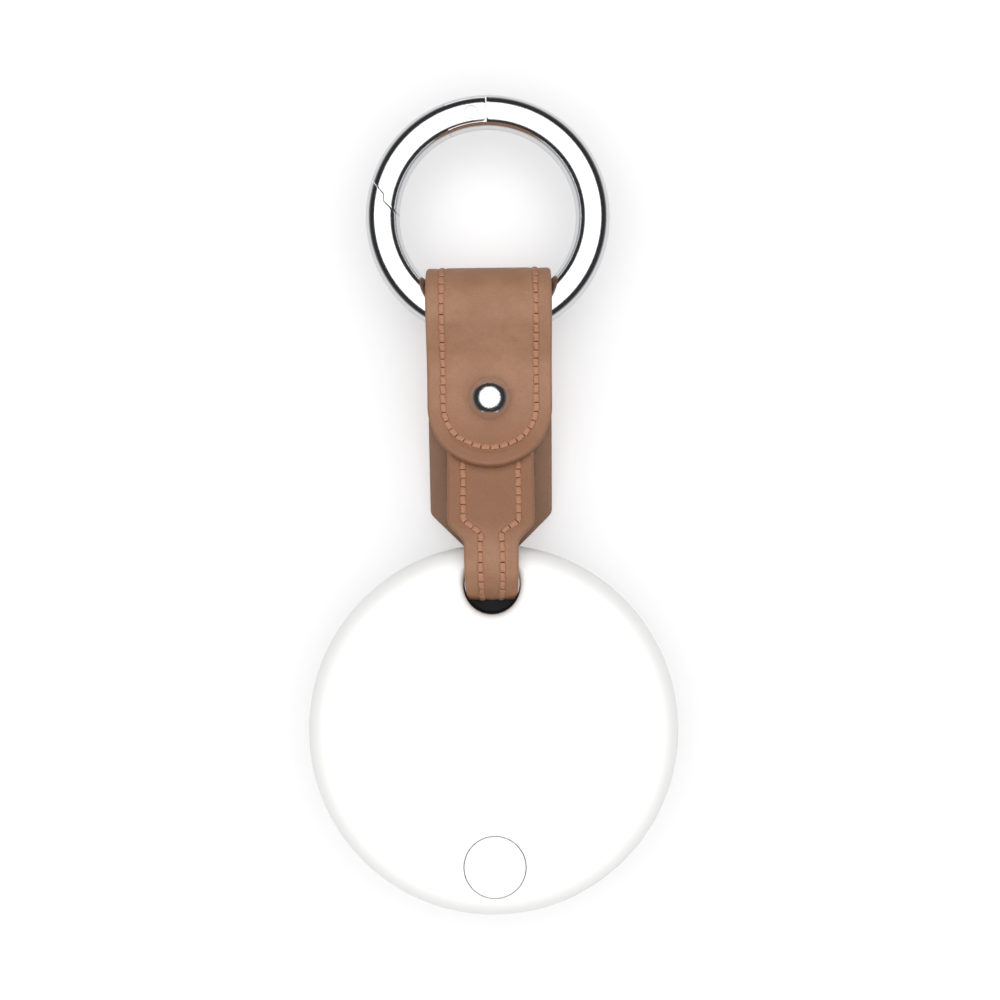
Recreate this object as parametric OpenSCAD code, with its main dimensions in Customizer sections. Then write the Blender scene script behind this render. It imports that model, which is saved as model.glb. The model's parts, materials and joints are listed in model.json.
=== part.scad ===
// Round bluetooth tracker tag on a stitched leather strap, with a spring-gate key ring.
// The origin is the centre of the tracker's rear face, +Y runs towards the ring and +Z out of the front.

/* [Tracker shells] */
// Diameter of the tracker
tracker_d = 38; // [37.5:0.5:39]
// Thickness of the tracker
tracker_h = 6.4; // [6.4:0.1:6.6]
// Radius that rounds the rim
rim_r = 2.5; // [2.4:0.1:2.6]
// Wall thickness of both shells
wall = 0.9; // [0.85:0.05:0.95]
// Height where the front and rear shells meet
parting_z = 2.6; // [2.6:0.1:2.8]

/* [Strap hole in the tracker] */
// Distance of the hole from the tracker's centre
hole_y = 14.85; // [14.8:0.05:14.9]
// Radius of the hole
hole_r = 2.9; // [2.85:0.05:3]
// Radius that rounds both mouths of the hole
hole_flare = 0.8; // [0.7:0.1:0.9]
// Wall thickness of the black liner
liner_wall = 0.3; // [0.25:0.05:0.35]

/* [Button] */
// Distance of the button below the tracker's centre
button_y = 13.6; // [13.4:0.1:13.8]
// Radius of the button cap
button_r = 3.1; // [3:0.05:3.2]
// Gap between the cap and the shell
button_gap = 0.1; // [0.08:0.01:0.15]
// Travel of the button
button_travel = 0.25; // [0.15:0.05:0.3]

/* [Electronics] */
// Diameter of the coin cell
cell_d = 20; // [20:1:20]
// Thickness of the coin cell
cell_h = 3.2; // [2.5:0.7:3.2]
// Outer radius of the ring-shaped circuit board
board_r = 16.8; // [16.6:0.1:16.9]
// Inner radius of the circuit board
board_inner_r = 10.6; // [10.5:0.1:10.8]
// Thickness of the circuit board
board_t = 0.6; // [0.5:0.1:0.6]
// Radius of the sounder's brass plate
sounder_r = 9; // [8.5:0.5:9]

/* [Strap] */
// Width of the strap and its flap
strap_w = 12.8; // [12:0.1:13]
// Width of the front tongue
tongue_w = 8.9; // [8.8:0.05:9]
// Width of the neck outside the tracker
neck_w = 5.5; // [5.4:0.1:5.6]
// Width of the neck inside the hole
neck_in_hole_w = 4.6; // [4.4:0.1:4.6]
// Thickness of the two plies of leather together
leather_t = 1.15; // [1:0.05:1.15]
// Thickness of the lining ply
lining_t = 0.5; // [0.4:0.05:0.55]
// Gap between layers of the strap where they lie on each other
layer_gap = 0.08; // [0.06:0.01:0.1]
// Inner radius of the neck where it bends round the tracker's edge
neck_bend_r = 3.6; // [3.56:0.01:3.62]
// Distance of that bend's axis from the tracker's centre
neck_bend_y = 18; // [17.98:0.01:18.05]
// Inner radius of the loop that holds the key ring
ring_loop_r = 3.15; // [3.12:0.01:3.2]
// Distance of that loop's axis from the tracker's centre
ring_loop_y = 43.3; // [43.25:0.05:43.35]
// Distance of the flap's round end from the tracker's centre
flap_end_y = 27.05; // [27:0.05:27.2]
// Distance of the press stud from the tracker's centre
stud_y = 34.05; // [33.95:0.05:34.15]
// Distance of the tongue's hidden end from the tracker's centre
tongue_end_y = 38; // [37.5:0.1:38.2]
// Slope of the tongue and flap up to the neck, in degrees
front_slope = 20; // [19:0.5:21]
// Slope of the back layer down to the neck, in degrees
back_slope = 13.5; // [13:0.5:14]
// Slope of both layers where they part round the key ring, in degrees
loop_slope = 28; // [27:0.5:29]
// Distance of the seam from the edges
seam_inset = 1.25; // [1.1:0.05:1.4]
// Width of the thread
thread_w = 0.6; // [0.5:0.05:0.7]

/* [Key ring] */
// Radius of the key ring to the middle of its wire
ring_r = 10.87; // [10.8:0.01:10.9]
// Distance of the key ring's centre from the tracker's centre
ring_y = 52.86; // [52.84:0.01:52.88]
// Diameter of the wire
wire_d = 3.5; // [3.4:0.05:3.5]
// Angle round the ring of the gate's pin, in degrees
pin_angle = 98.5; // [98.2:0.1:98.8]
// Distance of the gate's pin from the ring's centre
pin_reach = 10.6; // [10.55:0.05:10.65]
// Radius of the gate's pin
pin_r = 0.62; // [0.5:0.02:0.64]
// Gap between the gate and the ring's nose
gate_gap = 0.12; // [0.1:0.01:0.15]

/* [Hidden] */
$fn = 96;
mid_z = tracker_h / 2;
tracker_r = tracker_d / 2;
fit = 0.02;
// how far a cut runs past a face, how far two parts of one piece run into each other, and a size past all
over = 1;
bite = 0.1;
big = 100;

// strap hole: the shells' boss round it, and the black liner with the ledge that closes it behind the strap
boss_r = hole_r + 1.4;
boss_gap = 0.2;
liner_inset = 1.1;
ledge_t = 0.3;
ledge_gap = 0.1;

// the layers of the strap where the press stud holds them together
layer_pitch = leather_t + layer_gap;
tongue_z = mid_z;
back_z = tongue_z - layer_pitch;
flap_z = tongue_z + layer_pitch;
flap_top_z = flap_z + leather_t / 2;
flap_under_z = flap_z - leather_t / 2;
tongue_top_z = tongue_z + leather_t / 2;
back_under_z = back_z - leather_t / 2;
neck_mid_r = neck_bend_r + leather_t / 2;
loop_mid_r = ring_loop_r + leather_t / 2;
seat_bend_r = 8;
loop_seat_bend_r = 6;
thread_depth = 0.25;
arc_step = 7.5;
crease_gap = 0.1;
flap_spare = 0.5;
flap_round_r = strap_w / 2;

pin_at = pin_reach * [cos(pin_angle), sin(pin_angle)];
// the gate's slot and the ring's tongue in it, both round about the pin
slot_r = 3;
slot_half = 1.25;
tongue_gap = 0.05;
knuckle_r = 1.52;
// the gate's nose: two arcs about the pin, joined by a step
nose_outer_r = 12.33;
nose_inner_r = 12.85;
nose_step_x = -10.69;
// the straight bore for the spring, from its mouth in the slot
bore_from = ring_r * [cos(114.5), sin(114.5)];
bore_heading = 216.7;
bore_r = 0.85;
bore_depth = 5.2;
bore_lead = 0.3;
plunger_r = 0.7;
plunger_span = [0.3, 1.75];

board_z = 1.9;
board_top = board_z + board_t;
cell_z = 1.15;
cell_top = cell_z + cell_h;
inside_top = tracker_h - wall;

WHITE = "#f4f4f2";
BLACK = "#1c1c1c";
LEATHER = "#a37b63";
LINING = "#8a6450";
THREAD = "#b98465";
CHROME = "#d5d7da";
STEEL = "#b9bcc0";
BRASS = "#c9a24a";
BOARD = "#1f6b45";
CHIP = "#26282b";
CERAMIC = "#e6e2d8";

// ---- paths of the leather, seen from the side: [y, z, heading] stations along [length, turn] pieces

function rad(degrees) = degrees * PI / 180;
function arc(r, turn) = [r * rad(abs(turn)), turn];
function steps_in(piece) = max(1, ceil(abs(piece[1]) / arc_step));
function chord(step) = step[1] == 0 ? step[0] : step[0] * sin(step[1] / 2) / rad(step[1] / 2);
function walk(s, step) =
    let (heading = s[2] + step[1] / 2)
    [s[0] + chord(step) * cos(heading), s[1] + chord(step) * sin(heading), s[2] + step[1]];
function stations(start, pieces) =
    let (steps = [for (p = pieces) let (n = steps_in(p)) for (k = [1:n]) p / n])
    [for (i = 0, s = start; i <= len(steps); s = i < len(steps) ? walk(s, steps[i]) : s, i = i + 1) s];
function beside(s, off) = [s[0] + off * sin(s[2]), s[1] - off * cos(s[2])];

// straight stretch between two opposite bends of radius r1 and r2, and the length the three cover
function run(drop, r1, r2, slope) = (drop - (r1 + r2) * (1 - cos(slope))) / sin(slope);
function reach(drop, r1, r2, slope) = (r1 + r2) * sin(slope) + run(drop, r1, r2, slope) * cos(slope);

tongue_drop = mid_z + neck_mid_r - tongue_z;
back_rise = back_z - mid_z + neck_mid_r;
loop_drop = loop_mid_r - layer_pitch;
tongue_seat_y = neck_bend_y + reach(tongue_drop, neck_mid_r, seat_bend_r, front_slope);
back_seat_y = neck_bend_y + reach(back_rise, neck_mid_r, seat_bend_r, back_slope);
loop_seat_y = ring_loop_y - reach(loop_drop, loop_mid_r, loop_seat_bend_r, loop_slope);
flap_bend_r = seat_bend_r - layer_pitch;
neck_apex = [neck_bend_y - neck_mid_r, mid_z];

// front half: from the bend inside the hole, over the edge and down to the tongue's end
front_path = stations([neck_apex[0], neck_apex[1], 90], [
    arc(neck_mid_r, -90 - front_slope),
    [run(tongue_drop, neck_mid_r, seat_bend_r, front_slope), 0],
    arc(seat_bend_r, front_slope),
    [tongue_end_y - tongue_seat_y, 0]
]);
// back half: from the same bend, under the tracker's edge, round the key ring and up to the crease
back_path = stations([neck_apex[0], neck_apex[1], 270], [
    arc(neck_mid_r, 90 + back_slope),
    [run(back_rise, neck_mid_r, seat_bend_r, back_slope), 0],
    arc(seat_bend_r, -back_slope),
    [loop_seat_y - back_seat_y, 0],
    arc(loop_seat_bend_r, -loop_slope),
    [run(loop_drop, loop_mid_r, loop_seat_bend_r, loop_slope), 0],
    arc(loop_mid_r, 180 + 2 * loop_slope),
    [run(loop_drop, loop_mid_r, loop_seat_bend_r, loop_slope) - crease_gap / 2, 0]
]);
crease = back_path[len(back_path) - 1];
// flap: from the crease, flat under the stud's cap and up along the tongue to its round end
flap_path = stations(walk(crease, [crease_gap, 0]), [
    arc(loop_seat_bend_r, -loop_slope),
    [loop_seat_y - tongue_seat_y, 0],
    arc(flap_bend_r, -front_slope),
    [(tongue_seat_y - flap_bend_r * sin(front_slope) - flap_end_y) / cos(front_slope) + flap_spare, 0]
]);

// a layer of the leather between two distances from its middle, extruded across the strap
module layer(path, side, from, to) {
    n = len(path) - 1;
    rotate([90, 0, 90])
        linear_extrude(2 * strap_w, center = true)
            polygon(concat(
                [for (i = [0:n]) beside(path[i], side * from)],
                [for (i = [n:-1:0]) beside(path[i], side * to)]));
}

// ---- outlines of the leather, seen from the front: rows of [y, half width]

strap_span = [10, 60];
neck_step_y = [neck_bend_y - 0.4, neck_bend_y + 0.3];
shoulder_y = [19.1, 21.6];
shoulder_steps = 8;
chamfer_y = 22.25;
neck_rows = [
    [strap_span[0], neck_in_hole_w / 2],
    [neck_step_y[0], neck_in_hole_w / 2],
    [neck_step_y[1], neck_w / 2]
];
tongue_rows = concat(
    neck_rows,
    [for (k = [0:shoulder_steps])
        [shoulder_y[0] + (shoulder_y[1] - shoulder_y[0]) * k / shoulder_steps,
         neck_w / 2 + (tongue_w - neck_w) / 2 * (1 - cos(180 * k / shoulder_steps)) / 2]],
    [[strap_span[1], tongue_w / 2]]);
back_rows = concat(
    neck_rows,
    [[chamfer_y - (strap_w - neck_w) / 2, neck_w / 2],
     [chamfer_y, strap_w / 2],
     [strap_span[1], strap_w / 2]]);

module outline(rows, inset) {
    n = len(rows) - 1;
    translate([0, 0, -big / 2])
        linear_extrude(big)
            polygon(concat(
                [for (i = [0:n]) [rows[i][1] - inset, rows[i][0]]],
                [for (i = [n:-1:0]) [inset - rows[i][1], rows[i][0]]]));
}

module flap_outline(inset) {
    round_r = flap_round_r - inset;
    translate([0, flap_end_y + flap_round_r, -big / 2])
        linear_extrude(big)
            union() {
                circle(round_r);
                translate([-round_r, 0]) square([2 * round_r, strap_span[1]]);
            }
}

// the strap between two distances from the middle of the leather, cut to its outline
module strap_layer(from, to, inset = 0) {
    intersection() {
        layer(front_path, -1, from, to);
        outline(tongue_rows, inset);
    }
    intersection() {
        layer(back_path, 1, from, to);
        outline(back_rows, inset);
    }
}

module flap_layer(from, to, inset = 0) {
    intersection() {
        layer(flap_path, 1, from, to);
        flap_outline(inset);
    }
}

module strap_seam(from, to) {
    difference() {
        strap_layer(from, to, seam_inset);
        intersection() {
            layer(front_path, -1, from - over, to + over);
            outline(tongue_rows, seam_inset + thread_w);
        }
        intersection() {
            layer(back_path, 1, from - over, to + over);
            outline(back_rows, seam_inset + thread_w);
        }
    }
}

module flap_seam(from, to) {
    difference() {
        flap_layer(from, to, seam_inset);
        flap_layer(from - over, to + over, seam_inset + thread_w);
    }
}

// ---- tracker

module at_hole() translate([0, hole_y, 0]) children();
module at_button() translate([0, -button_y, 0]) children();
module at_stud() translate([0, stud_y, 0]) children();
module at_ring() translate([0, ring_y, mid_z]) children();
module at_pin() at_ring() translate(pin_at) children();
module tube(r_out, r_in, h) difference() {
    cylinder(r = r_out, h = h);
    translate([0, 0, -over]) cylinder(r = r_in, h = h + 2 * over);
}
module at_polar(r, angle) rotate(angle) translate([r, 0, 0]) children();
module block(size) translate([-size[0] / 2, -size[1] / 2, 0]) cube(size);
module above(z) translate([-big / 2, -big / 2, z]) cube(big);

// a disc with a rounded rim
module puck(r, h, corner) {
    rotate_extrude()
        union() {
            square([r - corner, h]);
            translate([0, corner]) square([r, h - 2 * corner]);
            translate([r - corner, corner]) circle(corner);
            translate([r - corner, h - corner]) intersection() {
                circle(corner);
                translate([-corner, -corner]) square(2 * corner);
            }
        }
}

module mouth_cut() {
    rotate_extrude()
        difference() {
            square([hole_r + hole_flare, hole_flare + fit]);
            translate([hole_r + hole_flare, 0]) circle(hole_flare);
        }
}

module hole_cut() at_hole() {
    translate([0, 0, -over]) cylinder(r = hole_r, h = tracker_h + 2 * over);
    translate([0, 0, hole_flare]) mirror([0, 0, 1]) mouth_cut();
    translate([0, 0, tracker_h - hole_flare]) mouth_cut();
    translate([0, 0, liner_inset])
        cylinder(r = hole_r + liner_wall + fit, h = tracker_h - 2 * liner_inset);
}

// the space inside both shells, drawn in by a gap all round
module shell_inside(gap = 0)
    let (inset = wall + gap)
    translate([0, 0, inset]) puck(tracker_r - inset, tracker_h - 2 * inset, rim_r - inset);

module both_shells() difference() {
    puck(tracker_r, tracker_h, rim_r);
    difference() {
        shell_inside();
        at_hole() cylinder(r = boss_r, h = tracker_h);
    }
    hole_cut();
}

// lip of the front shell inside the rear shell's wall, with the seal between them
seal_space = 0.4;
lip_r = tracker_r - wall - seal_space;
lip_t = 0.35;
lip_h = 0.7;
lip_root_h = 0.6;
lip_root_bite = 0.2;
gasket_t = 0.3;
gasket_h = 0.4;
post_r = 0.8;
post_angles = [30, 150, 210, 330];

module shell_lip() difference() {
    union() {
        translate([0, 0, parting_z - lip_h]) tube(lip_r, lip_r - lip_t, lip_h);
        translate([0, 0, parting_z]) tube(tracker_r - wall + lip_root_bite, lip_r - lip_t, lip_root_h);
    }
    at_hole() cylinder(r = boss_r + boss_gap, h = tracker_h);
}

module front_shell() color(WHITE) difference() {
    union() {
        intersection() {
            both_shells();
            above(parting_z);
        }
        shell_lip();
    }
    at_button() cylinder(r = button_r + button_gap, h = tracker_h + over);
}

module rear_shell() color(WHITE) {
    difference() {
        both_shells();
        above(parting_z);
    }
    for (angle = post_angles)
        at_polar(board_mid_r, angle) translate([0, 0, wall - bite])
            cylinder(r = post_r, h = board_z - wall + bite);
}

module shell_gasket() color(BLACK) difference() {
    translate([0, 0, parting_z - gasket_h]) tube(lip_r + gasket_t, lip_r + fit, gasket_h);
    at_hole() cylinder(r = boss_r + boss_gap, h = tracker_h);
}

// the ledge stays clear of the strap, which bends round an axis across the tracker's edge
module hole_liner() color(BLACK) {
    at_hole() translate([0, 0, liner_inset])
        tube(hole_r + liner_wall, hole_r, tracker_h - 2 * liner_inset);
    difference() {
        at_hole() translate([0, 0, liner_inset]) cylinder(r = hole_r + bite, h = ledge_t);
        translate([-big / 2, neck_bend_y, mid_z]) rotate([0, 90, 0])
            cylinder(r = neck_bend_r + leather_t + ledge_gap, h = big);
    }
}

// ---- button and switch

flange_z = inside_top - 0.5;
flange_r = button_r + 0.45;
flange_clearance = 0.06;
stem_r = 1;
seal_h = 0.6;
seal_gap = 0.15;
seal_t = 0.35;
plunger_top = 3.85;
plunger_h = 0.5;
switch_plunger_r = 0.7;
switch_size = [3.4, 3, 0.9];
switch_gap = 0.1;

module button_cap() color(WHITE) {
    intersection() {
        puck(tracker_r, tracker_h, rim_r);
        at_button() translate([0, 0, flange_z]) cylinder(r = button_r, h = tracker_h);
    }
    intersection() {
        shell_inside(flange_clearance);
        at_button() translate([0, 0, flange_z]) cylinder(r = flange_r, h = tracker_h);
    }
    at_button() translate([0, 0, plunger_top]) cylinder(r = stem_r, h = flange_z - plunger_top + bite);
}

module button_seal() color(BLACK) intersection() {
    shell_inside(fit);
    at_button() translate([0, 0, inside_top - seal_h])
        tube(flange_r + seal_gap + seal_t, flange_r + seal_gap, seal_h);
}

module switch_plunger() color(BLACK) at_button()
    translate([0, 0, plunger_top - plunger_h]) cylinder(r = switch_plunger_r, h = plunger_h);

module tact_switch() color(STEEL) at_button() difference() {
    translate([0, 0, board_top]) block(switch_size);
    translate([0, 0, plunger_top - plunger_h - button_travel - switch_gap])
        cylinder(r = switch_plunger_r + switch_gap, h = tracker_h);
}

// ---- board, cell and sounder

board_mid_r = (board_r + board_inner_r) / 2;
// each kind of chip: its size and its angles round the board
radio = [[4, 4, 0.85], [0]];
memory = [[2.6, 3.6, 0.75], [180]];
clock = [[1.6, 2, 0.6], [24]];
antenna = [[2, 5.2, 1.1], [232]];
capacitors = [[1.6, 0.8, 0.7], [-24, -30, -36, 158, 202, 210]];

module circuit_board() color(BOARD) difference() {
    translate([0, 0, board_z]) tube(board_r, board_inner_r, board_t);
    at_hole() cylinder(r = boss_r + boss_gap, h = tracker_h);
}

module chips(kind)
    for (angle = kind[1]) at_polar(board_mid_r, angle) translate([0, 0, board_top]) block(kind[0]);
module radio_chip() color(CHIP) chips(radio);
module memory_chip() color(CHIP) chips(memory);
module crystal() color(STEEL) chips(clock);
module chip_antenna() color(CERAMIC) chips(antenna);
module chip_capacitors() color(BRASS) chips(capacitors);

cell_rim = 1.2;
cell_foot_h = 0.3;
module coin_cell() color(STEEL) translate([0, 0, cell_z]) {
    cylinder(d = cell_d - 2 * cell_rim, h = cell_foot_h + bite);
    translate([0, 0, cell_foot_h]) cylinder(d = cell_d, h = cell_h - cell_foot_h);
}

// the cell's contacts: strips bent up or down to the board
contact_t = 0.2;
pad_r = 4;
negative_w = 2;
negative_reach = 11.2;
negative_angle = -60;
positive_w = 2.4;
positive_span = [7, 11.6];
positive_angle = -120;

module negative_contact() color(BRASS) translate([0, 0, wall]) {
    cylinder(r = pad_r, h = contact_t);
    rotate(negative_angle) translate([0, -negative_w / 2, 0]) {
        cube([negative_reach + contact_t, negative_w, contact_t]);
        translate([negative_reach, 0, 0]) cube([contact_t, negative_w, board_z - wall]);
    }
}

module positive_contact() color(BRASS)
    rotate(positive_angle) translate([positive_span[0], -positive_w / 2, 0])
        let (reach = positive_span[1] - positive_span[0], under = cell_top + fit) {
            translate([0, 0, under]) cube([reach + contact_t, positive_w, contact_t]);
            translate([reach, 0, board_top]) cube([contact_t, positive_w, under + contact_t - board_top]);
        }

sounder_t = 0.2;
ceramic_r = 7;
ceramic_t = 0.15;
leaf_w = 1;
leaf_t = 0.25;
leaf_span = [8, 11.6];
leaf_angles = [135, 225];
leaf_z = inside_top - sounder_t - leaf_t;

module sounder_plate() color(BRASS)
    translate([0, 0, inside_top - sounder_t]) cylinder(r = sounder_r, h = sounder_t);
module sounder_ceramic() color(CERAMIC)
    translate([0, 0, inside_top - sounder_t - ceramic_t]) cylinder(r = ceramic_r, h = ceramic_t);
module sounder_springs() color(BRASS)
    for (angle = leaf_angles) rotate(angle) translate([0, -leaf_w / 2, 0]) {
        translate([leaf_span[1], 0, board_top]) cube([leaf_t, leaf_w, leaf_z - board_top]);
        translate([leaf_span[0], 0, leaf_z])
            cube([leaf_span[1] - leaf_span[0] + leaf_t, leaf_w, leaf_t - fit]);
    }

// ---- leather, thread and press stud

half_t = leather_t / 2;
lining_top = lining_t - half_t;

groove_cut = 0.5;

// press stud
cap_r = 2.2;
cap_stem_h = 0.35;
rivet_t = 0.45;
shank_r = 0.75;
nipple_base_r = 1.7;
nipple_base_t = 0.3;
nipple_r = 0.9;
nipple_h = 0.7;
socket_r = 1.6;
socket_bore_r = 1.15;

module stud_cuts() at_stud() {
    translate([0, 0, back_under_z - over]) cylinder(r = shank_r + fit, h = 2 * layer_pitch + 2 * over);
    translate([0, 0, tongue_top_z - nipple_base_t])
        cylinder(r = nipple_base_r + fit, h = nipple_base_t + over);
}
module socket_cut() at_stud()
    translate([0, 0, flap_under_z - over]) cylinder(r = socket_r + fit, h = leather_t + 2 * over);

module strap_face() color(LEATHER) difference() {
    strap_layer(lining_top, half_t);
    strap_seam(half_t - thread_depth, half_t + groove_cut);
    stud_cuts();
}
module strap_lining() color(LINING) difference() {
    strap_layer(-half_t, lining_top);
    stud_cuts();
}
module strap_thread() color(THREAD) strap_seam(half_t - thread_depth, half_t);

module flap_face() color(LEATHER) difference() {
    flap_layer(lining_top, half_t);
    flap_seam(half_t - thread_depth, half_t + groove_cut);
    socket_cut();
}
module flap_lining() color(LINING) difference() {
    flap_layer(-half_t, lining_top);
    socket_cut();
}
module flap_thread() color(THREAD) flap_seam(half_t - thread_depth, half_t);

module stud_post() color(CHROME) at_stud() {
    translate([0, 0, back_under_z - rivet_t]) cylinder(r = cap_r, h = rivet_t);
    translate([0, 0, back_under_z - bite])
        cylinder(r = shank_r, h = tongue_top_z - nipple_base_t - back_under_z + bite);
}
module stud_nipple() color(CHROME) at_stud() {
    translate([0, 0, tongue_top_z - nipple_base_t]) cylinder(r = nipple_base_r, h = nipple_base_t);
    translate([0, 0, tongue_top_z - bite]) cylinder(r = nipple_r, h = nipple_h + bite);
}
module snap_socket() color(STEEL) at_stud()
    translate([0, 0, flap_under_z]) tube(socket_r, socket_bore_r, leather_t);
module snap_cap() color(CHROME) at_stud() {
    intersection() {
        translate([0, 0, flap_top_z]) sphere(cap_r);
        above(flap_top_z);
    }
    translate([0, 0, flap_top_z - cap_stem_h]) cylinder(r = socket_bore_r - fit, h = cap_stem_h + bite);
}

// ---- key ring, in the plane of the tracker's middle

module wire() rotate_extrude() translate([ring_r, 0]) circle(d = wire_d);

// the stretch of wire that the gate takes, drawn in by a gap at both ends
module gate_zone(gap) translate([0, 0, -wire_d]) linear_extrude(2 * wire_d)
    intersection() {
        translate([-big - gap, -big / 2]) square(big);
        union() {
            translate(pin_at) circle(nose_outer_r - gap);
            intersection() {
                translate(pin_at) circle(nose_inner_r - gap);
                translate([nose_step_x + gap, -big / 2]) square(big);
            }
        }
    }

module pin_bore(r) translate([pin_at[0], pin_at[1], -wire_d]) cylinder(r = r, h = 2 * wire_d);

module ring_body() color(CHROME) at_ring() difference() {
    union() {
        difference() {
            wire();
            gate_zone(0);
        }
        intersection() {
            wire();
            translate([pin_at[0], pin_at[1], tongue_gap - slot_half])
                cylinder(r = slot_r - tongue_gap, h = 2 * (slot_half - tongue_gap));
        }
    }
    pin_bore(pin_r);
}

module gate_pin() color(CHROME) at_ring() intersection() {
    wire();
    pin_bore(pin_r);
}

module in_gate() at_ring() translate(bore_from) rotate(bore_heading) rotate([0, 90, 0]) children();

module gate() color(CHROME) difference() {
    at_ring() intersection() {
        wire();
        gate_zone(gate_gap);
    }
    at_ring() pin_bore(pin_r + tongue_gap);
    at_pin() {
        translate([0, 0, -slot_half]) cylinder(r = slot_r, h = 2 * slot_half);
        translate([0, 0, -wire_d]) difference() {
            translate([0, -wire_d, 0]) cube([wire_d, wire_d, 2 * wire_d]);
            translate([0, 0, -over]) cylinder(r = knuckle_r, h = 2 * wire_d + 2 * over);
        }
    }
    in_gate() translate([0, 0, -bore_lead]) cylinder(r = bore_r, h = bore_depth + bore_lead);
}

module gate_plunger() color(STEEL) in_gate()
    translate([0, 0, plunger_span[0]]) cylinder(r = plunger_r, h = plunger_span[1] - plunger_span[0]);

// a coil spring: rings of points round a helix
spring_turns = 6;
spring_turn_steps = 12;
spring_ring = 8;
spring_steps = spring_turn_steps * spring_turns;
spring_wire_r = 0.11;
spring_r = 0.6;
spring_gap = 0.05;
spring_from = plunger_span[1] + spring_gap;
spring_l = bore_depth - spring_from - 2 * spring_wire_r - spring_gap;
function coil_point(i, k) =
    let (a = 360 * i / spring_turn_steps, b = 360 * k / spring_ring, r = spring_r + spring_wire_r * cos(b))
    [r * cos(a), r * sin(a), spring_from + spring_l * i / spring_steps + spring_wire_r * (1 + sin(b))];

module gate_spring() color(STEEL) in_gate()
    polyhedron(
        points = [for (i = [0:spring_steps]) for (k = [0:spring_ring - 1]) coil_point(i, k)],
        faces = concat(
            [[for (k = [0:spring_ring - 1]) k]],
            [for (i = [0:spring_steps - 1]) for (k = [0:spring_ring - 1])
                let (here = i * spring_ring, next = (k + 1) % spring_ring)
                [here + k, here + spring_ring + k, here + spring_ring + next, here + next]],
            [[for (k = [spring_ring - 1:-1:0]) spring_steps * spring_ring + k]]));

front_shell();
rear_shell();
shell_gasket();
hole_liner();
button_cap();
button_seal();
switch_plunger();
tact_switch();
circuit_board();
radio_chip();
memory_chip();
crystal();
chip_antenna();
chip_capacitors();
coin_cell();
positive_contact();
negative_contact();
sounder_plate();
sounder_ceramic();
sounder_springs();
strap_face();
strap_lining();
strap_thread();
stud_post();
stud_nipple();
flap_face();
flap_lining();
flap_thread();
snap_cap();
snap_socket();
ring_body();
gate_pin();
gate();
gate_plunger();
gate_spring();
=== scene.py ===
import json
import math
import bpy
import bmesh
import numpy as np
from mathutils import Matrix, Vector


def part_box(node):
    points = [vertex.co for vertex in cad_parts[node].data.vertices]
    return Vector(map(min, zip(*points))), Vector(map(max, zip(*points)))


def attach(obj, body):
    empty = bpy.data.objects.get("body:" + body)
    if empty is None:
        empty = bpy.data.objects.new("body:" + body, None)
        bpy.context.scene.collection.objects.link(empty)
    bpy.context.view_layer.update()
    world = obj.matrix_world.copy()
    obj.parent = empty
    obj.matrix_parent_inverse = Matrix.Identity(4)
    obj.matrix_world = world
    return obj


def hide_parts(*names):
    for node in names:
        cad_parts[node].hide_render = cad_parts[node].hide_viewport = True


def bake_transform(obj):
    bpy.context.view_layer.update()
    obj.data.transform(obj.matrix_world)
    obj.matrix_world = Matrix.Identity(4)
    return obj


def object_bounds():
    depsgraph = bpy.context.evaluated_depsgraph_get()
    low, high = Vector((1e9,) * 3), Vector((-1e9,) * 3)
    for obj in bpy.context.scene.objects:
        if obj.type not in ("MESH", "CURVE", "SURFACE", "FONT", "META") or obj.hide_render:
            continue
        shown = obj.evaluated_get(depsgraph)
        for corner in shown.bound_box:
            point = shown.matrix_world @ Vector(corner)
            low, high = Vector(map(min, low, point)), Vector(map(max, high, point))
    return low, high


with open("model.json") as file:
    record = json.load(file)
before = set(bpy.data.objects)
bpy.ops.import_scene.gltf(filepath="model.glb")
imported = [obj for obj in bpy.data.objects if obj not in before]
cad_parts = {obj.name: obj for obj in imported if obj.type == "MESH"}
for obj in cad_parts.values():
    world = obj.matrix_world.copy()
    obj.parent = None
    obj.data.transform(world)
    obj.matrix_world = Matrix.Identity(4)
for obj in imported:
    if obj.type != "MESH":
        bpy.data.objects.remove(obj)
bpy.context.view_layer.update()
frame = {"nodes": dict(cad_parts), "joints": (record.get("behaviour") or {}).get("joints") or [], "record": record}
mm = 0.001
joints = {joint["name"]: joint for joint in frame["joints"]}


def jointAt(name):
    return np.array(joints[name]["pos_m"]) / mm


def boxOf(node):
    low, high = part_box(node)
    return np.array(low) / mm, np.array(high) / mm


# shader maths: a Socket is one value in a material, and expressions on it add its Math nodes
class Socket:
    def __init__(self, paint, socket):
        self.paint, self.socket = paint, socket

    def math(self, operation, *values):
        return self.paint.node("ShaderNodeMath", {"operation": operation}, values)

    def __abs__(self):
        return self.math("ABSOLUTE", self)

    def __add__(self, other):
        return self.math("ADD", self, other)

    def __radd__(self, other):
        return self.math("ADD", other, self)

    def __sub__(self, other):
        return self.math("SUBTRACT", self, other)

    def __rsub__(self, other):
        return self.math("SUBTRACT", other, self)

    def __mul__(self, other):
        return self.math("MULTIPLY", self, other)

    def __rmul__(self, other):
        return self.math("MULTIPLY", other, self)

    def over(self, low, high):  # 0 below low, 1 above high, smooth between
        settings = {"interpolation_type": "SMOOTHSTEP"}
        values = {"Value": self, "From Min": low, "From Max": high}
        return self.paint.node("ShaderNodeMapRange", settings, values)


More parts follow.
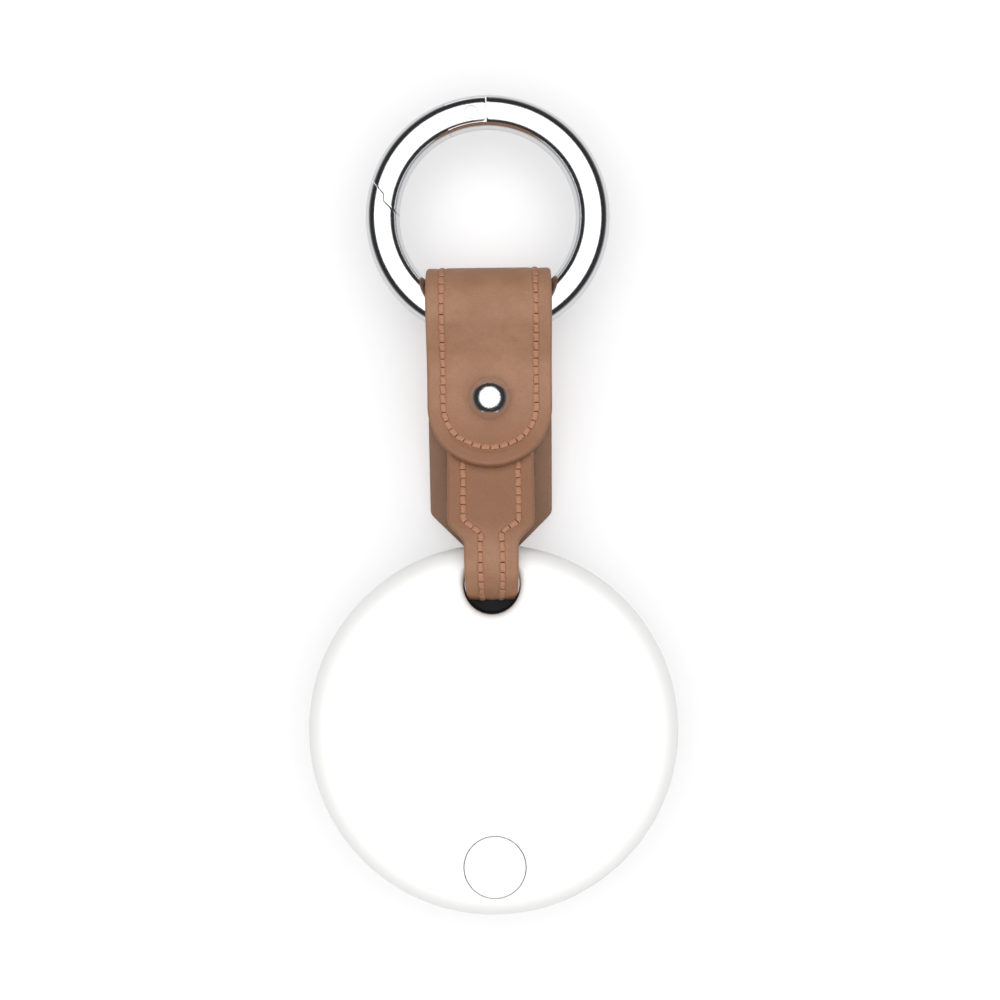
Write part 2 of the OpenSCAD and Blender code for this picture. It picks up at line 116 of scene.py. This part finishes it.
class Paint:
    def __init__(self, name, owner=None):
        self.owner = owner or bpy.data.materials.new(name)
        self.owner.use_nodes = True
        self.tree = self.owner.node_tree
        self.tree.nodes.clear()

    def node(self, kind, settings=None, values=(), out=0):
        # settings first, then the sockets' values or links
        made = self.tree.nodes.new(kind)
        for key, value in (settings or {}).items():
            setattr(made, key, value)
        pairs = values.items() if isinstance(values, dict) else enumerate(values)
        for key, value in pairs:
            if isinstance(value, Socket):
                self.tree.links.new(value.socket, made.inputs[key])
            else:
                made.inputs[key].default_value = value
        return Socket(self, made.outputs[out])

    def place(self, coords="Object"):  # object coordinates in millimetres, or the UV map as it is
        where = self.node("ShaderNodeTexCoord", out=coords)
        scale = 1 / mm if coords == "Object" else 1
        return self.node("ShaderNodeMapping", {}, {"Vector": where, "Scale": [scale] * 3})

    def noise(self, where, scale, detail=2.0, rough=0.5):
        values = {"Vector": where, "Scale": scale, "Detail": detail, "Roughness": rough}
        return self.node("ShaderNodeTexNoise", {}, values)

    def cells(self, where, scale, feature="F1"):
        return self.node("ShaderNodeTexVoronoi", {"feature": feature}, {"Vector": where, "Scale": scale})

    def blend(self, share, one, two, how="MIX"):
        return self.node("ShaderNodeMix", {"data_type": "RGBA", "blend_type": how},
                         {0: share, 6: one, 7: two}, out=2)

    def bump(self, height, depth, strength=1.0, under=None):
        values = {"Height": height, "Distance": depth * mm, "Strength": strength}
        if under is not None:
            values["Normal"] = under
        return self.node("ShaderNodeBump", {}, values)

    def output(self, kind, surface):
        self.tree.links.new(surface.socket, self.tree.nodes.new(kind).inputs["Surface"])
        return self.owner

    def finish(self, **values):
        names = {key.replace("_", " "): value for key, value in values.items()}
        return self.output("ShaderNodeOutputMaterial", self.node("ShaderNodeBsdfPrincipled", {}, names))


def rgb(red, green, blue):  # a display colour, 0 to 255, as the linear colour that nodes use
    share = np.array([red, green, blue]) / 255
    linear = np.where(share <= 0.04045, share / 12.92, ((share + 0.055) / 1.055) ** 2.4)
    return (*linear.tolist(), 1.0)


# meshes
def gridFaces(rows, columns, wrap=False):
    # one quad for each cell of a rows x columns grid of points; wrap joins the last column to the first
    row = np.arange(rows - 1)[:, None]
    column = np.arange(columns if wrap else columns - 1)[None, :]
    beside = (column + 1) % columns
    here = row * columns
    below = here + columns
    return np.stack([here + column, here + beside, below + beside, below + column], -1).reshape(-1, 4)


weld = 0.0002  # points closer than this are one point, in millimetres


def addPiece(name, body, points, faces, material, uv, sharp=None, replaces=()):
    # points in millimetres and faces as arrays; doubles are merged and faces turned outwards
    mesh = bpy.data.meshes.new(name)
    mesh.from_pydata((points * mm).tolist(), [], faces.tolist())
    layer = mesh.uv_layers.new(name="UVMap")
    layer.data.foreach_set("uv", uv[faces.reshape(-1)].astype(np.float32).reshape(-1))
    solid = bmesh.new()
    solid.from_mesh(mesh)
    bmesh.ops.remove_doubles(solid, verts=solid.verts, dist=weld * mm)
    bmesh.ops.dissolve_degenerate(solid, edges=solid.edges, dist=weld * mm)
    bmesh.ops.recalc_face_normals(solid, faces=solid.faces)
    solid.to_mesh(mesh)
    solid.free()
    mesh.polygons.foreach_set("use_smooth", np.ones(len(mesh.polygons), bool))
    if sharp is not None:
        mesh.set_sharp_from_angle(angle=math.radians(sharp))
    mesh.materials.append(material)
    piece = bpy.data.objects.new(name, mesh)
    bpy.context.scene.collection.objects.link(piece)
    if replaces:
        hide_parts(*replaces)
    if body:
        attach(piece, body)
    return piece


# the strip of leather: cut flat, then bent along its side path
strap = {
    "thickness": 1.15, "lining": 0.5, "layerGap": 0.08,
    "frontSlope": 20.0, "backSlope": 13.5, "loopSlope": 28.0,  # degrees
    "seatBend": 8.0, "loopSeatBend": 6.0,
    "tongueEnd": 38.0, "flapEnd": 27.05,
    "width": 12.8, "tongueWidth": 8.9, "neckWidth": 5.5, "neckInHole": 5.2, "neckTaperFrom": 17.6,
    "shoulder": (19.1, 21.6), "chamferTop": 22.25,
    "edgeRound": 0.36, "seamInset": 1.64, "grooveDepth": 0.1, "grooveWidth": 0.36, "pillow": 0.04,
    "pillowReach": 0.8, "pillowPower": 0.7,
    "rowStep": 0.25, "shortRow": 0.1, "fanRows": 32, "pathStep": 0.02, "softenSteps": 30, "sharpAngle": 50,
    "creaseHalf": 2.2,  # half the stretch each side of the flap's crease, in millimetres
}
neckAt, loopAt = jointAt("tracker_swing"), jointAt("ring_swing")
strapLow, strapHigh = boxOf("strap_face")
half = strap["thickness"] / 2
neckMid = neckAt[2] - strapLow[2] - half
loopMid = strapHigh[1] - loopAt[1] - half
pitch = strap["thickness"] + strap["layerGap"]
midZ = neckAt[2]


def straightRun(drop, radii, slope):
    # straight stretch between two opposite bends that together drop that far
    return (drop - radii * (1 - math.cos(slope))) / math.sin(slope)


def covers(drop, radii, slope):
    return radii * math.sin(slope) + straightRun(drop, radii, slope) * math.cos(slope)


def sidePath():
    # arcs and straights as [length, turn], walked in small steps: heading adds up the turns,
    # and y and z add up the cosine and sine of the heading
    front, back, loop = (math.radians(strap[key]) for key in ("frontSlope", "backSlope", "loopSlope"))
    bend, loopBend = strap["seatBend"], strap["loopSeatBend"]
    tongueRun = straightRun(neckMid, neckMid + bend, front)
    backRun = straightRun(neckMid - pitch, neckMid + bend, back)
    loopRun = straightRun(loopMid - pitch, loopMid + loopBend, loop)
    tongueSeat = neckAt[1] + covers(neckMid, neckMid + bend, front)
    backSeat = neckAt[1] + covers(neckMid - pitch, neckMid + bend, back)
    loopSeat = loopAt[1] - covers(loopMid - pitch, loopMid + loopBend, loop)
    flapBend = bend - pitch
    flapRun = (tongueSeat - flapBend * math.sin(front) - strap["flapEnd"]) / math.cos(front)
    pieces = [
        (strap["tongueEnd"] - tongueSeat, 0), (bend * front, -front), (tongueRun, 0),
        (neckMid * (math.pi + front + back), math.pi + front + back),
        (backRun, 0), (bend * back, -back), (loopSeat - backSeat, 0),
        (loopBend * loop, -loop), (loopRun, 0), (loopMid * (math.pi + 2 * loop), math.pi + 2 * loop),
        (loopRun, 0), (loopBend * loop, -loop), (loopSeat - tongueSeat, 0),
        (flapBend * front, -front), (flapRun, 0),
    ]
    lengths = np.array([piece[0] for piece in pieces])
    counts = np.ceil(lengths / strap["pathStep"]).astype(int)
    step = np.repeat(lengths / counts, counts)
    turn = np.repeat(np.array([piece[1] for piece in pieces]) / counts, counts)
    heading = math.pi + np.concatenate([[0], np.cumsum(turn)])
    along = (heading[1:] + heading[:-1]) / 2
    joined = np.concatenate([[0], np.cumsum(lengths)])
    return {
        "s": np.concatenate([[0], np.cumsum(step)]),
        "y": strap["tongueEnd"] + np.concatenate([[0], np.cumsum(step * np.cos(along))]),
        "z": midZ + np.concatenate([[0], np.cumsum(step * np.sin(along))]),
        "heading": heading,
        "apex": joined[3] + neckMid * (math.pi / 2 + front),
        "split": joined[10],
        "end": joined[-1],
    }


path = sidePath()


def bent(x, s, n):
    # a point of the flat strip, x across, s along and n out of its middle, once the strip is bent
    y, z, heading = (np.interp(s, path["s"], path[key]) for key in ("y", "z", "heading"))
    return np.stack([x + 0 * s, y + n * np.sin(heading), z - n * np.cos(heading)], -1)


def halfWidths():
    # half the strip's width at each step of the path, its corners rounded by a running average
    y, s = path["y"], path["s"]
    low, high = strap["shoulder"]
    names = ("width", "tongueWidth", "neckWidth", "neckInHole")
    wide, tongue, neck, inHole = (strap[name] / 2 for name in names)
    taper = strap["neckTaperFrom"]
    inside = np.clip((taper - y) / (taper - y.min()), 0, 1)
    shoulder = (1 - np.cos(np.pi * np.clip((y - low) / (high - low), 0, 1))) / 2
    front = neck + (tongue - neck) * shoulder
    back = np.clip(neck + y - strap["chamferTop"] + wide - neck, neck, wide)
    widths = np.where(s < path["apex"], front, back) - inside ** 2 * (neck - inHole)
    window = np.hanning(2 * strap["softenSteps"] + 1)
    padded = np.pad(widths, strap["softenSteps"], mode="edge")
    return np.convolve(padded, window / window.sum(), mode="valid")


widthAt = halfWidths()
slopeAt = np.gradient(widthAt, path["s"])


def edgeAt(s):  # half width, and how much further a slanted edge lies across than square to it
    return np.interp(s, path["s"], widthAt), np.sqrt(1 + np.interp(s, path["s"], slopeAt) ** 2)


edgeSteps = np.array([0, 0.012, 0.04, 0.08, 0.14, 0.21, 0.29, 0.36, 0.5, 0.75, 1.0, 1.16, 1.28, 1.4,
                      1.52, 1.64, 1.76, 1.88, 2.0, 2.12, 2.25, 2.4])
innerShares = np.linspace(0, 1, 8)[:-1]


def plySection(low, high, lowRound, highRound, groove):
    # once round the ply's section: how far each column is from the edge, its share of the inner width,
    # which side it is on, and its height
    share = np.concatenate([innerShares, np.full(len(edgeSteps), -1.0)])
    fromEdge = np.concatenate([np.zeros(len(innerShares)), edgeSteps[::-1]])
    depth = np.where(share >= 0, strap["width"], fromEdge)

    def fall(radius):  # quarter-round edge
        inside = np.clip(radius - depth, 0, radius)
        return radius - np.sqrt(np.maximum(radius ** 2 - inside ** 2, 0))

    dip = strap["grooveDepth"] * np.exp(-((depth - strap["seamInset"]) / strap["grooveWidth"]) ** 2)
    inward = np.clip((depth - strap["seamInset"]) / strap["pillowReach"], 0, 1)
    crown = strap["pillow"] * inward ** strap["pillowPower"]
    top = high - fall(highRound) - groove * (dip - crown + strap["pillow"])
    bottom = low + fall(lowRound)
    ring = {
        "share": np.concatenate([share, share[::-1]]),
        "fromEdge": np.concatenate([fromEdge, fromEdge[::-1]]),
        "height": np.concatenate([top, bottom[::-1]]),
    }
    right = np.ones(len(ring["share"]))
    both = {key: np.concatenate([value, value[::-1]]) for key, value in ring.items()}
    both["side"] = np.concatenate([right, -right])
    return both


def stripRows(start, end, roundStart, roundEnd):
    # rows square to the spine, and a fan of rows at a round end: spine position, direction and half width
    steps = np.arange(start, end, strap["rowStep"])
    spine = np.append(steps[:-1] if end - steps[-1] < strap["shortRow"] else steps, end)
    width, slant = edgeAt(spine)
    direction = np.full(len(spine), np.pi / 2)
    fan = np.linspace(0, np.pi / 2, strap["fanRows"] + 1)[:-1]

    def joinFan(at, first):
        nonlocal spine, width, slant, direction
        radius = edgeAt(np.array([at]))[0][0]
        angles = (np.pi - fan) if first else fan[::-1]
        parts = [
            (np.full(len(fan), at), spine), (np.full(len(fan), radius), width),
            (np.ones(len(fan)), slant), (angles, direction),
        ]
        spine, width, slant, direction = (np.concatenate(part if first else part[::-1]) for part in parts)

    if roundStart:
        joinFan(start, True)
    if roundEnd:
        joinFan(end, False)
    return spine, width, slant, direction


def leatherPly(name, body, start, end, roundStart, roundEnd, section, material, replaces):
    spine, width, slant, direction = stripRows(start, end, roundStart, roundEnd)
    last = edgeSteps[-1]
    w, k, phi, m = (value[:, None] for value in (width, slant, direction, spine))
    inner = section["share"][None] * (w - last * k)
    outer = w - section["fromEdge"][None] * k
    out = np.where(section["share"][None] >= 0, inner, outer)
    x = section["side"][None] * out * np.sin(phi)
    s = m + out * np.cos(phi)
    n = section["height"][None] + 0 * out
    middle = np.full((1, n.shape[1]), (section["height"].max() + section["height"].min()) / 2)
    if not roundEnd:  # close a square end across its middle
        x, s, n = np.vstack([x, x[-1:]]), np.vstack([s, s[-1:]]), np.vstack([n, middle])
    if not roundStart:
        x, s, n = np.vstack([x[:1], x]), np.vstack([s[:1], s]), np.vstack([middle, n])
    points = bent(x, s, n).reshape(-1, 3)
    faces = gridFaces(x.shape[0], x.shape[1], wrap=True)
    uv = np.stack([x, s], -1).reshape(-1, 2)
    return addPiece(name, body, points, faces, material, uv, strap["sharpAngle"], replaces)


# thread: short fat stitches that dive into the leather at both ends
thread = {"pitch": 0.95, "length": 0.97, "width": 0.6, "height": 0.24, "lift": 0.03, "dive": 0.07,
          "slant": 4.0, "around": 10, "along": 13, "backLift": -0.06, "tipInset": 0.3, "tipSteps": 60,
          "seamStart": 1.2, "seamStep": 0.05, "lookAhead": 0.02,
          "slantSpread": 3, "widthSpread": 0.06, "asideSpread": 0.015, "liftSpread": 0.012}


def seamSide(start, end):  # a straight-running seam on the right-hand side, as flat points
    s = np.linspace(start, end, int((end - start) / thread["seamStep"]) + 2)
    width, slant = edgeAt(s)
    return np.stack([width - strap["seamInset"] * slant, s], -1)


def stitches(name, body, seam, level, outward, material, replaces=()):
    # each stitch is a flat tube with blunt ends: its width follows (1 - |u|^10)^(1/3), and its middle
    # line stands proud at u = 0 and sinks as |u|^6 towards its ends
    gaps = np.linalg.norm(np.diff(seam, axis=0), axis=1)
    run = np.concatenate([[0], np.cumsum(gaps)])
    count = max(1, round(run[-1] / thread["pitch"]))
    centres = (np.arange(count) + 0.5) * run[-1] / count
    rng = np.random.default_rng(count + len(name))
    jitter = rng.normal(0, 1, (5, count, 1, 1))
    u = np.sin(np.linspace(-np.pi / 2, np.pi / 2, thread["along"]))[None, :, None]
    v = np.linspace(0, 2 * np.pi, thread["around"], endpoint=False)[None, None, :]
    length = thread["length"] * run[-1] / count / thread["pitch"]
    at = centres[:, None, None] + u * length / 2 + 0 * v
    x, s = (np.interp(at, run, seam[:, k]) for k in (0, 1))
    ahead, behind = at + thread["lookAhead"], at - thread["lookAhead"]
    dx = np.interp(ahead, run, seam[:, 0]) - np.interp(behind, run, seam[:, 0])
    ds = np.interp(ahead, run, seam[:, 1]) - np.interp(behind, run, seam[:, 1])
    size = np.hypot(dx, ds)
    profile = np.maximum(1 - np.abs(u) ** 10, 0) ** (1 / 3)
    slant = np.radians(thread["slant"] + thread["slantSpread"] * jitter[0]) * u * length / 2
    aside = thread["width"] / 2 * (1 + thread["widthSpread"] * jitter[1]) * profile * np.cos(v)
    aside = aside + slant + thread["asideSpread"] * jitter[2]
    lift = thread["lift"] if outward > 0 else thread["backLift"]
    rise = lift + thread["liftSpread"] * jitter[3] - thread["dive"] * np.abs(u) ** 6
    rise = rise + thread["height"] / 2 * profile * np.sin(v)
    x, s = x + aside * ds / size, s - aside * dx / size
    points = bent(x, s, level + outward * rise).reshape(-1, 3)
    cells = gridFaces(thread["along"], thread["around"], wrap=True)
    perStitch = thread["along"] * thread["around"]
    faces = (cells[None] + perStitch * np.arange(count)[:, None, None]).reshape(-1, 4)
    wave = np.stack([(u + 0 * at) * 0.5 + 0.5, v / (2 * np.pi) + 0 * at], -1).reshape(-1, 2)
    return addPiece(name, body, points, faces, material, wave, replaces=replaces)


# finishes
tan = {"name": "tanLeather", "tone": rgb(159, 116, 89), "warm": rgb(165, 122, 95), "dark": rgb(112, 76, 56),
       "deep": rgb(144, 100, 72), "patches": 0.3}
lining = {"name": "liningLeather", "tone": rgb(138, 103, 80), "warm": rgb(144, 107, 84),
          "dark": rgb(92, 64, 48), "deep": rgb(124, 90, 70), "patches": 0.15}
# painted shade darkens the tongue, and the flap's tip is darkened too; places along the strip in millimetres
darkened = {"tongueFrom": (9.0, 12.0), "tongueTo": (17.0, 20.0), "tip": (8.0, 3.0), "tongueShare": 0.85,
           "tipShare": 0.75}
# scales are in cells a millimetre, ranges are where each pattern starts and ends
hide = {"cloudScale": 0.35, "clouds": (0.35, 0.65), "patchScale": 0.9, "patchRough": 0.55,
        "patches": (0.4, 0.75), "patchDepth": 0.12, "patchStrength": 0.25, "grainScale": 4.2,
        "grainLine": (0.0, 0.1), "grainShare": 0.22,
        "grainDip": (0.0, 0.16), "poreScale": 2.6, "pore": (0.02, 0.12), "poreShare": 0.25, "fineScale": 9.0,
        "fineRough": 0.6, "grainHeight": 0.6, "fineHeight": 0.4, "depth": 0.02, "strength": 0.6,
        "roughness": 0.44, "roughSpread": 0.16, "specular": 0.4}


def leatherPaint(look):
    paint = Paint(look["name"])
    place = paint.place()
    along = paint.node("ShaderNodeSeparateXYZ", {}, [paint.place(coords="UV")], out=1)
    clouds = paint.noise(place, hide["cloudScale"], 2)
    patches = paint.noise(place, hide["patchScale"], 3, hide["patchRough"])
    grain = paint.cells(place, hide["grainScale"], "DISTANCE_TO_EDGE")
    pores = paint.cells(place, hide["poreScale"])
    fine = paint.noise(place, hide["fineScale"], 3, hide["fineRough"])
    # painted shade on the tongue, and a darker flap tip, both mixed towards the deep tone
    tongue = along.over(*darkened["tongueFrom"]) * (1 - along.over(*darkened["tongueTo"]))
    tip = along.over(*(path["end"] - back for back in darkened["tip"]))
    darkMask = tongue * darkened["tongueShare"] + tip * darkened["tipShare"]
    colour = paint.blend(clouds.over(*hide["clouds"]), look["tone"], look["warm"])
    colour = paint.blend(darkMask, colour, look["deep"])
    colour = paint.blend(patches.over(*hide["patches"]) * look["patches"], colour, look["deep"])
    colour = paint.blend((1 - grain.over(*hide["grainLine"])) * hide["grainShare"], colour, look["dark"])
    colour = paint.blend((1 - pores.over(*hide["pore"])) * hide["poreShare"], colour, look["dark"])
    relief = grain.over(*hide["grainDip"]) * hide["grainHeight"] + fine * hide["fineHeight"]
    normal = paint.bump(relief, hide["depth"], hide["strength"])
    normal = paint.bump(patches, hide["patchDepth"], hide["patchStrength"], normal)
    roughness = hide["roughness"] + fine * hide["roughSpread"]
    return paint.finish(Base_Color=colour, Roughness=roughness, Normal=normal,
                        Specular_IOR_Level=hide["specular"])


fleckLook = {"rough": 0.6, "share": 0.12, "shade": 0.8, "roughSpread": 0.06, "strength": 0.5}


def plainPaint(name, colour, roughness, metallic=0.0, grain=0.0, scale=6.0):
    paint = Paint(name)
    fleck = paint.noise(paint.place(), scale, 3, fleckLook["rough"])
    shade = tuple(fleckLook["shade"] * c for c in colour[:3]) + (1,)
    values = {"Base_Color": paint.blend(fleck * fleckLook["share"], colour, shade),
              "Roughness": roughness + fleck * fleckLook["roughSpread"], "Metallic": metallic}
    if grain:
        values["Normal"] = paint.bump(fleck, grain, fleckLook["strength"])
    return paint.finish(**values)


# the ends' range and share, with the noise mask keys after them, set the painted shade where each stitch dives
# into the leather
waxLook = {"twistScale": 1.6, "twistWobble": 0.6, "twistShare": 0.25, "fuzzScale": 12.0, "fuzzRough": 0.6,
           "fuzz": (0.4, 0.7), "fuzzShare": 0.3, "ends": (0.84, 0.93), "endShare": 0.35, "darkMaskScale": 0.8,
           "darkMask": (0.3, 0.55), "darkMaskShare": 0.6, "roughness": 0.62, "depth": 0.03, "strength": 0.5}


def threadPaint():
    paint = Paint("waxedThread")
    uv = paint.place("UV")
    twist = paint.node("ShaderNodeTexWave", {"wave_type": "BANDS", "bands_direction": "DIAGONAL"},
                       {"Vector": uv, "Scale": waxLook["twistScale"], "Distortion": waxLook["twistWobble"],
                        "Detail": 1.0}, out=1)
    fuzz = paint.noise(paint.place(), waxLook["fuzzScale"], 3, waxLook["fuzzRough"])
    colour = paint.blend(twist * waxLook["twistShare"], rgb(176, 126, 97), rgb(152, 104, 79))
    colour = paint.blend(fuzz.over(*waxLook["fuzz"]) * waxLook["fuzzShare"], colour, rgb(188, 138, 106))
    along = paint.node("ShaderNodeSeparateXYZ", {}, [uv])
    # painted shade: each stitch darkens towards its ends, where it dives into its needle hole, unevenly along the
    # seam
    ends = (abs(along - 0.5) * 2).over(*waxLook["ends"])
    darkMask = paint.noise(paint.place(), waxLook["darkMaskScale"], 1).over(*waxLook["darkMask"])
    colour = paint.blend(ends * (waxLook["endShare"] + darkMask * waxLook["darkMaskShare"]), colour, rgb(70, 42, 26))
    normal = paint.bump(twist, waxLook["depth"], waxLook["strength"])
    return paint.finish(Base_Color=colour, Roughness=waxLook["roughness"], Normal=normal)


leather = leatherPaint(tan)
liningLeather = leatherPaint(lining)
waxed = threadPaint()
chrome = plainPaint("chromePlate", rgb(234, 235, 237), 0.1, metallic=1.0, grain=0.003, scale=9.0)
domeChrome = plainPaint("domeChrome", rgb(234, 235, 237), 0.13, metallic=1.0, grain=0.02, scale=5.0)
steel = plainPaint("plainSteel", rgb(196, 198, 200), 0.22, metallic=1.0, grain=0.01)
brass = plainPaint("brass", rgb(214, 176, 104), 0.25, metallic=1.0)
whiteShell = plainPaint("whiteShell", rgb(252, 252, 251), 0.32, grain=0.004, scale=14.0)
blackPlastic = plainPaint("blackPlastic", rgb(60, 60, 61), 0.55, grain=0.01)
darkSeal = plainPaint("darkSeal", rgb(52, 52, 54), 0.7, grain=0.01)
boardGreen = plainPaint("boardGreen", rgb(30, 104, 66), 0.3, grain=0.01)
ceramic = plainPaint("ceramic", rgb(226, 220, 206), 0.5)
print("finishes ready")

finishes = {
    "white_shell": whiteShell, "black_plastic": blackPlastic, "soft_seal": darkSeal,
    "circuit_board": boardGreen,
    "chip_black": blackPlastic, "ceramic": ceramic, "brass": brass, "steel": steel, "chrome": chrome,
    "leather": leather, "lining": liningLeather, "thread": waxed,
}
for part in frame["record"]["subparts"]:
    node = frame["nodes"][part["node"]]
    node.data.materials.clear()
    node.data.materials.append(finishes[part["material_slot"]])
frame["nodes"]["snap_cap"].data.materials[0] = domeChrome

cutRound = {"inner": 0.05, "outer": 0.25}  # how far each ply's cut edges are rounded
faceSection = plySection(strap["lining"] - half, half, cutRound["inner"], strap["edgeRound"], 1.0)
liningSection = plySection(-half, strap["lining"] - half, cutRound["outer"], cutRound["inner"], 0.0)
flapRound = strap["width"] / 2
tongueRound = strap["tongueWidth"] / 2
split, flapCentre = path["split"], path["end"] - flapRound

for ply, section, material, slot in (("Face", faceSection, leather, "leather"),
                                     ("Lining", liningSection, liningLeather, "lining")):
    node = ply.lower()
    leatherPly("strap" + ply, "strap", tongueRound, split, True, False, section, material,
               ["strap_" + node])
    flap = leatherPly("flap" + ply, None, split, flapCentre, False, True, section, material,
                      ["flap_" + node])
    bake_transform(flap)

right = seamSide(thread["seamStart"], split)
left = right * [-1, 1]
flapSide = seamSide(split, flapCentre)
turn = np.linspace(np.pi / 2, -np.pi / 2, thread["tipSteps"])
radius = flapRound - strap["seamInset"]
flapTip = np.stack([radius * np.sin(turn), flapCentre + (radius - thread["tipInset"]) * np.cos(turn)], -1)
flapSeam = np.concatenate([flapSide, flapTip[1:-1], (flapSide * [-1, 1])[::-1]])
faceLevel = half - strap["grooveDepth"]
stitches("strapThreadRight", "strap", right, faceLevel, 1, waxed, ["strap_thread"])
stitches("strapThreadLeft", "strap", left, faceLevel, 1, waxed)
for side, level, outward, replaced in (("Front", faceLevel, 1, ["flap_thread"]), ("Back", -half, -1, ())):
    flapThread = stitches("flapThread" + side, None, flapSeam, level, outward, waxed, replaced)
    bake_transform(flapThread)
print("strap and thread made")

# chrome ring: the CAD's own shapes with their corners broken
chromeEdge = {"bevel": 0.045, "corner": 32.0, "segments": 2, "weld": 0.001, "flat": 0.3}
for node, body in (("ring_body", "ring"), ("gate", "gate")):
    mesh = frame["nodes"][node].data.copy()
    solid = bmesh.new()
    solid.from_mesh(mesh)
    bmesh.ops.remove_doubles(solid, verts=solid.verts, dist=chromeEdge["weld"] * mm)
    flat = math.radians(chromeEdge["flat"])
    bmesh.ops.dissolve_limit(solid, angle_limit=flat, verts=solid.verts, edges=solid.edges)
    bmesh.ops.recalc_face_normals(solid, faces=solid.faces)
    solid.to_mesh(mesh)
    solid.free()
    mesh.polygons.foreach_set("use_smooth", np.ones(len(mesh.polygons), bool))
    piece = bpy.data.objects.new(node + "Polished", mesh)
    bpy.context.scene.collection.objects.link(piece)
    bevel = piece.modifiers.new("brokenCorners", "BEVEL")
    bevel.width = chromeEdge["bevel"] * mm
    bevel.segments = chromeEdge["segments"]
    bevel.harden_normals = True
    bevel.limit_method = "ANGLE"
    bevel.angle_limit = math.radians(chromeEdge["corner"])
    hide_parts(node)
    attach(piece, body)
print("chrome made")

# floor, light and camera
studio = {"cameraHeight": 143.8, "aim": (0.93, 23.6), "roll": -0.66, "lens": 50.0,
          "panelHeight": 500.0, "panelAngle": 57.5, "panelPower": 9.1, "floorReach": 700.0,
          "mirrored": (12.0, 40.0), "floorGap": 0.02, "dimNear": 0.22, "dimFar": 0.74, "roomLight": 0.03,
          "sensor": 36, "nearest": 5.0}
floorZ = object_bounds()[0][2] / mm - studio["floorGap"]
corners = np.array([(-1, -1), (1, -1), (1, 1), (-1, 1)]) * studio["floorReach"]
floorMesh = bpy.data.meshes.new("floor")
floorMesh.from_pydata([(x * mm, y * mm, floorZ * mm) for x, y in corners], [], [(0, 1, 2, 3)])
# the floor gives some light of its own, which keeps shadows pale, and glossy rays see it painted darker, the more
# so further off, so metal mirrors a dim floor as painted reflection
floorPaint = Paint("paleFloor")
mirrored = floorPaint.node("ShaderNodeLightPath", out="Is Glossy Ray")
rayLength = floorPaint.node("ShaderNodeLightPath", out="Ray Length")
far = rayLength.over(*(reach * mm for reach in studio["mirrored"]))
dimmed = mirrored * (studio["dimNear"] + far * studio["dimFar"])
floorColour = floorPaint.blend(dimmed, rgb(206, 206, 207), rgb(40, 40, 41))
floorGlow = floorPaint.blend(dimmed, rgb(158, 158, 158), rgb(20, 20, 20))
floorMesh.materials.append(floorPaint.finish(Base_Color=floorColour, Roughness=0.7, Emission_Color=floorGlow,
                                             Emission_Strength=1.0))
floor = bpy.data.objects.new("floor", floorMesh)
bpy.context.scene.collection.objects.link(floor)

# one round panel fills the sky down to panelAngle from straight up, and the room below it is dark, so that
# polished metal shows a white middle between dark lines
panel = bpy.data.lights.new("overheadPanel", "AREA")
panel.shape = "DISK"
panel.energy = studio["panelPower"]
panel.size = 2 * studio["panelHeight"] * mm * math.tan(math.radians(studio["panelAngle"]))
lamp = bpy.data.objects.new("overheadPanel", panel)
lamp.location = (0, studio["aim"][1] * mm, studio["panelHeight"] * mm)
bpy.context.scene.collection.objects.link(lamp)

room = Paint("room", bpy.data.worlds.new("room"))
pale = room.node("ShaderNodeBackground", {}, [rgb(246, 246, 247), 1.0])
dark = room.node("ShaderNodeBackground", {}, [rgb(255, 252, 248), studio["roomLight"]])
seen = room.node("ShaderNodeLightPath", out="Is Camera Ray")
bpy.context.scene.world = room.output(
    "ShaderNodeOutputWorld", room.node("ShaderNodeMixShader", {}, [seen, dark, pale]))

cameraData = bpy.data.cameras.new("camera")
cameraData.lens = studio["lens"]
cameraData.sensor_width = studio["sensor"]
cameraData.clip_start = studio["nearest"] * mm
camera = bpy.data.objects.new("camera", cameraData)
camera.location = (studio["aim"][0] * mm, studio["aim"][1] * mm, (midZ + studio["cameraHeight"]) * mm)
camera.rotation_euler = (0, 0, math.radians(studio["roll"]))
bpy.context.scene.collection.objects.link(camera)
bpy.context.scene.camera = camera
bpy.context.scene.view_settings.view_transform = "Standard"

print("scene ready")
